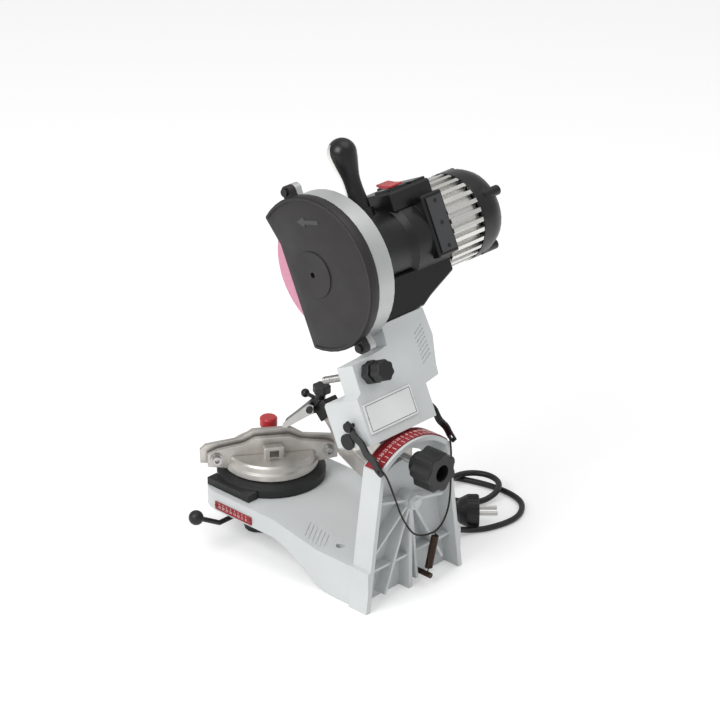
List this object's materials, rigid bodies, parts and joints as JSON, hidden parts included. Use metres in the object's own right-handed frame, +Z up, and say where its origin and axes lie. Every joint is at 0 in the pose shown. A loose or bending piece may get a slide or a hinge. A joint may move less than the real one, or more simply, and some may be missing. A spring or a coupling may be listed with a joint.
{
  "type": "electric chainsaw chain sharpener",
  "caption": "Bench grinder for saw chains: a motor head with a guarded thin wheel swings down on a tilting bracket over a swivelling chain vise.",
  "frame": {"origin": "on the bench plane, at the middle of the stand's rear foot", "axes": "+Z up, +Y out of the ribbed rear face, -Y toward the vise, -X toward the motor"},
  "size_m": [0.3437, 0.305, 0.4377],
  "materials": {
    "grey_paint": "painted satin",
    "black_plastic": "satin",
    "bare_aluminium": "satin",
    "steel": "satin",
    "red_plastic": "satin",
    "pink_stone": "rough",
    "white_label": "satin",
    "brown_steel": "satin",
    "rubber": "matte"
  },
  "bodies": {
    "base": {"base_casting": "grey_paint", "tilt_scale": "red_plastic", "vise_scale": "red_plastic", "swivel_ring": "black_plastic", "pivot_bolt": "steel", "spring_anchor": "brown_steel", "return_spring": "brown_steel", "cord_gland": "rubber", "mains_lead": "rubber", "mains_plug": "rubber", "plug_pin_1": "steel", "plug_pin_2": "steel"},
    "bracket": {"tilt_bracket": "bare_aluminium", "clamp_stud": "steel", "hinge_pin": "steel", "return_cable": "black_plastic", "stop_arm": "bare_aluminium", "stop_body": "black_plastic"},
    "tilt_clamp": {"tilt_knob": "black_plastic"},
    "stop_clamp": {"stop_knob": "black_plastic"},
    "pawl": {"stop_pawl": "steel"},
    "arm": {"arm_casting": "grey_paint", "label_plate": "white_label", "strap_pin_left": "steel", "strap_pin_right": "steel", "motor_housing": "black_plastic", "vent_grille": "bare_aluminium", "end_cap": "black_plastic", "wheel_guard": "grey_paint", "wheel_cover": "black_plastic", "guard_screw_1": "steel", "guard_screw_2": "steel", "front_bearing": "steel", "rear_bearing": "steel", "stator": "brown_steel", "terminal_plate": "grey_paint", "grip_handle": "black_plastic", "handle_strip": "bare_aluminium"},
    "depth_stop": {"depth_screw": "steel", "depth_end_knob": "black_plastic"},
    "depth_lock": {"depth_lock_knob": "black_plastic"},
    "wheel": {"grinding_wheel": "pink_stone", "inner_flange": "steel", "outer_flange": "steel", "spindle_nut": "steel", "spindle": "steel", "rotor": "brown_steel", "cooling_fan": "black_plastic"},
    "rocker": {"rocker_switch": "red_plastic"},
    "strap_l": {"strap_left": "black_plastic"},
    "strap_r": {"strap_right": "black_plastic"},
    "vise": {"vise_body": "bare_aluminium", "front_jaw": "bare_aluminium", "jaw_bolt_1": "steel", "jaw_bolt_2": "steel"},
    "moving_jaw": {"rear_jaw": "bare_aluminium"},
    "jaw_knob": {"red_knob": "red_plastic"},
    "lever": {"ball_lever": "black_plastic"},
    "under_knob": {"low_knob": "black_plastic"}
  },
  "joints": [
    {"name": "tilt", "type": "hinge", "parent": "base", "child": "bracket", "pos_m": [0, 0, 0.102], "axis": [0, 1, 0], "range_deg": [0, 35]},
    {"name": "arm_swing", "type": "hinge", "parent": "bracket", "child": "arm", "pos_m": [0, -0.038, 0.1715], "axis": [1, 0, 0], "range_deg": [0, 57], "stiffness_Nm_per_rad": 3.4, "springref_deg": -51.57, "deforming": ["return_spring", "return_cable"]},
    {"name": "wheel_spin", "type": "hinge", "parent": "arm", "child": "wheel", "pos_m": [0, -0.11005, 0.32393], "axis": [1, 0, 0], "continuous": true},
    {"name": "tilt_knob_turn", "type": "hinge", "parent": "bracket", "child": "tilt_clamp", "pos_m": [0, 0.03, 0.148], "axis": [0, 1, 0], "continuous": true},
    {"name": "stop_knob_turn", "type": "hinge", "parent": "bracket", "child": "stop_clamp", "pos_m": [-0.04, -0.1625, 0.157], "axis": [0, 0, 1], "continuous": true},
    {"name": "pawl_flip", "type": "hinge", "parent": "bracket", "child": "pawl", "pos_m": [-0.03274, -0.17118, 0.137], "axis": [0.8141, 0.5807, 0], "range_deg": [-40, 0]},
    {"name": "depth_screw_turn", "type": "hinge", "parent": "arm", "child": "depth_stop", "pos_m": [0.024, -0.06407, 0.22665], "axis": [0, 0.9041, 0.4274], "continuous": true},
    {"name": "depth_lock_turn", "type": "hinge", "parent": "arm", "child": "depth_lock", "pos_m": [0.024, -0.02791, 0.24374], "axis": [0, 0.9041, 0.4274], "continuous": true},
    {"name": "rocker_tip", "type": "hinge", "parent": "arm", "child": "rocker", "pos_m": [-0.097, -0.11892, 0.38013], "axis": [1, 0, 0], "range_deg": [0, 14]},
    {"name": "strap_turn_l", "type": "hinge", "parent": "arm", "child": "strap_l", "pos_m": [0.053, -0.032, 0.19203], "axis": [1, 0, 0], "range_deg": [-46, 0]},
    {"name": "strap_turn_r", "type": "hinge", "parent": "arm", "child": "strap_r", "pos_m": [-0.053, -0.032, 0.19203], "axis": [1, 0, 0], "range_deg": [-46, 0]},
    {"name": "vise_swivel", "type": "hinge", "parent": "base", "child": "vise", "pos_m": [-0.002, -0.201, 0.07], "axis": [0, 0, 1], "range_deg": [0, 70]},
    {"name": "jaw_close", "type": "slide", "parent": "vise", "child": "moving_jaw", "axis": [0.5878, 0.809, 0], "range_m": [0, 0.0012]},
    {"name": "jaw_knob_turn", "type": "hinge", "parent": "vise", "child": "jaw_knob", "pos_m": [-0.01141, -0.21394, 0.11], "axis": [0, 0, 1], "continuous": true},
    {"name": "lever_turn", "type": "hinge", "parent": "base", "child": "lever", "pos_m": [-0.002, -0.201, 0.028], "axis": [0, 0, 1], "range_deg": [-70, 0]},
    {"name": "under_knob_turn", "type": "hinge", "parent": "base", "child": "under_knob", "pos_m": [-0.002, -0.201, 0.01], "axis": [0, 0, 1], "continuous": true}
  ],
  "couplings": [
    {"joint": "strap_turn_l", "follows": "arm_swing", "ratio": -0.76},
    {"joint": "strap_turn_r", "follows": "arm_swing", "ratio": -0.76}
  ]
}
